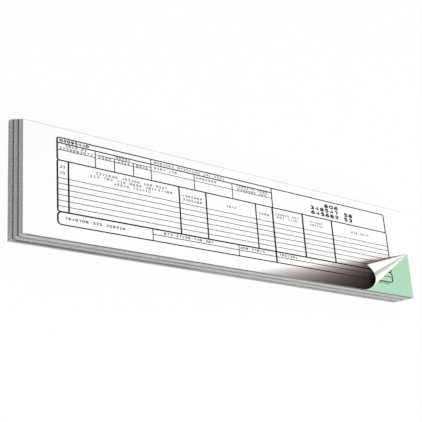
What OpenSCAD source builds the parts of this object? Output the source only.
// Duplicate receipt book: a long, low glued pad of two-sheet sets on a board.
// It lies face up. X runs along the lines of the form, Y up the page to the
// glued head and Z out of the page. The origin is on the board's underside,
// below the middle of the top sheet.

/* [Sheets] */
// Length of a sheet, along the lines of the form
sheet_w = 210; // [150:1:300]
// Height of the top sheet, from its foot to the glued head
sheet_h = 44.5; // [35:0.5:150]
// Thickness of one sheet of copy paper
sheet_t = 0.1; // [0.07:0.01:0.16]

/* [Pad] */
// Sets in the pad; each set is a white original over a green duplicate
sets = 50; // [25:1:100]
// Sets at the top whose sheets are parts of their own
single_sets = 10; // [1:1:15]
// Sets in each group of sheets below them
group_sets = 10; // [5:1:25]
// Sets in each lot that the pad was gathered from; the last lot holds the rest
lot_sets = 19; // [5:1:50]
// How much shorter each lot is at its right end than the one above it
lot_step = 1; // [0:0.1:1.5]
// How much further left the lowest sheet and the board reach than the top sheet
end_lean = 0.4; // [0:0.1:1]

/* [Backing board] */
// Thickness of the grey board
board_t = 1.2; // [0.8:0.1:2.5]

/* [Glued head] */
// Thickness of the glue film on the head
glue_t = 0.3; // [0.2:0.05:0.8]
// How much further back the lowest sheet and the board reach than the top sheet
head_lean = 4; // [0:0.5:6]

/* [Curled corner] */
// Distance from the corner to where the foot of the top sheet leaves the pad
curl_foot = 35.7; // [30:0.1:50]
// Distance from the corner to where its side edge leaves the pad
curl_side = 22.4; // [18:0.1:30]
// How far the lifting foot first runs on along the pad
curl_run = 6.9; // [3:0.1:10]
// Outer pull of the roll, from the corner along the foot
bend_along = 26.2; // [22:0.1:30]
// Outer pull of the roll, from the corner up the side
bend_up = 4.8; // [3:0.1:7]
// Outer pull of the roll, above the page
bend_high = 5.5; // [4:0.1:8]
// Place of the sheet's free corner, from the pad's corner along the foot
tip_along = 33.9; // [30:0.1:37]
// Place of the sheet's free corner, from the pad's corner up the side
tip_up = 11.7; // [9:0.1:14]
// Place of the sheet's free corner, above the page
tip_high = 3; // [2:0.1:4]

/* [Hidden] */
rim_steps = 24;
// Part of the way down the cone at which the rolled sheet has its full thickness
feather = 0.12;

set_t = 2 * sheet_t;
pad_t = board_t + sets * set_t;
groups = ceil((sets - single_sets) / group_sets);
lots = ceil(sets / lot_sets);
right = sheet_w / 2;
left = -right;
head = sheet_h / 2;
foot = -head;

paper_white = "white";
paper_green = [0.71, 0.87, 0.75];
board_grey = [0.55, 0.54, 0.52];
glue_clear = [0.90, 0.89, 0.84];

function two_digits(n) = n < 10 ? str("0", n) : str(n);
function first_set(group) = single_sets + (group - 1) * group_sets + 1;
function last_set(group) = min(sets, single_sets + group * group_sets);
function sets_in(group) = str(two_digits(first_set(group)), "_", two_digits(last_set(group)));
function original_name(n) = str("original_", two_digits(n));
function duplicate_name(n) = str("duplicate_", two_digits(n));
function originals_name(group) = str("originals_", sets_in(group));
function duplicates_name(group) = str("duplicates_", sets_in(group));

// Set 1 is on top. A set's white sheet lies on its green one.
function set_top(n) = pad_t - (n - 1) * set_t;
function original_z(n) = set_top(n) - sheet_t;
function duplicate_z(n) = original_z(n) - sheet_t;

// A pad is knocked up by hand, glued at its head and then cut at its foot. The pile
// leaned back as it was glued, so a sheet reaches further back at the head, and a
// hair further left, the deeper it lies, while the foot and the board are square.
function depth_share(z) = (pad_t - max(z, board_t)) / (pad_t - board_t);
function head_line(z) = head + head_lean * depth_share(z);
function left_line(z) = left - end_lean * depth_share(z);

// The lots lie flush at the foot, and the knife left each one a little shorter at
// the right. The board ends where the last lot does, which lies on it.
function lot_of(n) = floor((n - 1) / lot_sets);
function right_of(lot) = right - lot * lot_step;
function lot_top(lot) = lot == 0 ? original_z(1) : set_top(lot * lot_sets + 1);
function lot_foot(lot) = lot_top(lot + 1);

// One flat sheet of set n, with its underside at height z
module sheet(n, z) {
    from = left_line(set_top(n));
    translate([from, foot, z])
        cube([right_of(lot_of(n)) - from, head_line(set_top(n)) - foot, sheet_t]);
}

module original(n) {
    color(paper_white) sheet(n, original_z(n));
}

module duplicate(n) {
    color(paper_green) sheet(n, duplicate_z(n));
}

module originals(group) {
    for (n = [first_set(group):last_set(group)]) original(n);
}

module duplicates(group) {
    for (n = [first_set(group):last_set(group)]) duplicate(n);
}

module backing_board() {
    from = left_line(board_t);
    color(board_grey) translate([from, foot, 0])
        cube([right_of(lots - 1) - from, head_line(board_t) - foot, board_t]);
}

// The film follows the head, from the top sheet's left end to each lot's right one.
// It stops at the top duplicate, so the top original turns clear of it.
module padding_glue() {
    color(glue_clear) for (lot = [0:lots - 1]) {
        levels = lot == lots - 1 ? [lot_top(lot), board_t, 0] : [lot_top(lot), lot_foot(lot)];
        inside = [for (z = levels) [head_line(z), z]];
        outside = [for (i = [len(inside) - 1:-1:0]) inside[i] + [glue_t, 0]];
        translate([left, 0, 0]) rotate([90, 0, 90])
            linear_extrude(right_of(lot) - left) polygon(concat(inside, outside));
    }
}

// The corner of the top sheet lifts and rolls back over the page. The lifted
// foot is a rim, one cubic curve, and the sheet between it and the cone's point,
// where the side edge leaves the pad, is a cone of straight lines.
page_z = original_z(1);
cone_point = [right, foot + curl_side, page_z];
rim_pulls = [
    [right - curl_foot, foot, page_z],
    [right - curl_foot + curl_run, foot, page_z],
    [right - bend_along, foot + bend_up, page_z + bend_high],
    [right - tip_along, foot + tip_up, page_z + tip_high]
];

function rim(t) =
    pow(1 - t, 3) * rim_pulls[0]
    + 3 * pow(1 - t, 2) * t * rim_pulls[1]
    + 3 * (1 - t) * pow(t, 2) * rim_pulls[2]
    + pow(t, 3) * rim_pulls[3];

function rim_direction(t) =
    pow(1 - t, 2) * (rim_pulls[1] - rim_pulls[0])
    + 2 * (1 - t) * t * (rim_pulls[2] - rim_pulls[1])
    + pow(t, 2) * (rim_pulls[3] - rim_pulls[2]);

// Square to the paper, towards its printed side
function printed_side(t) =
    let (across = cross(rim_direction(t), cone_point - rim(t)))
    across / norm(across);

// The sheet's underside and its printed side, a share of the way down the cone
function under_roll(share) = [for (i = [0:rim_steps])
    cone_point + share * (rim(i / rim_steps) - cone_point)];
function over_roll(share) = [for (i = [0:rim_steps])
    under_roll(share)[i] + sheet_t * printed_side(i / rim_steps)];
function at_height(outline, z) = [for (p = outline) [p[0], p[1], z]];

module curled_original() {
    rows = rim_steps + 1;
    flat = [[left, foot], [left, head], [right, head], [right, foot + curl_side * (1 + feather)]];
    points = concat(
        [cone_point + [0, 0, sheet_t / 2]],
        under_roll(feather), over_roll(feather), under_roll(1), over_roll(1),
        at_height(flat, page_z), at_height(flat, page_z + sheet_t)
    );
    // Where each run of points starts
    near_under = 1;
    near_over = near_under + rows;
    rim_under = near_over + rows;
    rim_over = rim_under + rows;
    flat_under = rim_over + rows;
    flat_over = flat_under + len(flat);

    rolled = [for (i = [0:rim_steps - 1]) each [
        [0, near_under + i, near_under + i + 1],
        [near_under + i, rim_under + i, rim_under + i + 1],
        [near_under + i, rim_under + i + 1, near_under + i + 1],
        [0, near_over + i + 1, near_over + i],
        [near_over + i, rim_over + i + 1, rim_over + i],
        [near_over + i, near_over + i + 1, rim_over + i + 1],
        [rim_under + i, rim_over + i, rim_over + i + 1],
        [rim_under + i, rim_over + i + 1, rim_under + i + 1]
    ]];
    page = [
        [flat_under + 3, flat_under + 2, flat_under + 1, flat_under, rim_under, near_under],
        [near_over, rim_over, flat_over, flat_over + 1, flat_over + 2, flat_over + 3],
        [0, flat_under + 3, near_under],
        [0, near_over, flat_over + 3]
    ];
    free_corner = [
        [0, near_under + rim_steps, near_over + rim_steps],
        [rim_under + rim_steps, rim_over + rim_steps, near_over + rim_steps, near_under + rim_steps]
    ];
    edges = [
        [rim_under, flat_under, flat_over, rim_over],
        [0, flat_over + 3, flat_under + 3],
        for (i = [0:2]) [flat_under + i, flat_under + i + 1, flat_over + i + 1, flat_over + i]
    ];
    color(paper_white) polyhedron(points, concat(rolled, page, free_corner, edges));
}

backing_board();
padding_glue();
curled_original();
for (n = [2:1:single_sets]) original(n);
for (n = [1:single_sets]) duplicate(n);
for (group = [1:groups]) originals(group);
for (group = [1:groups]) duplicates(group);
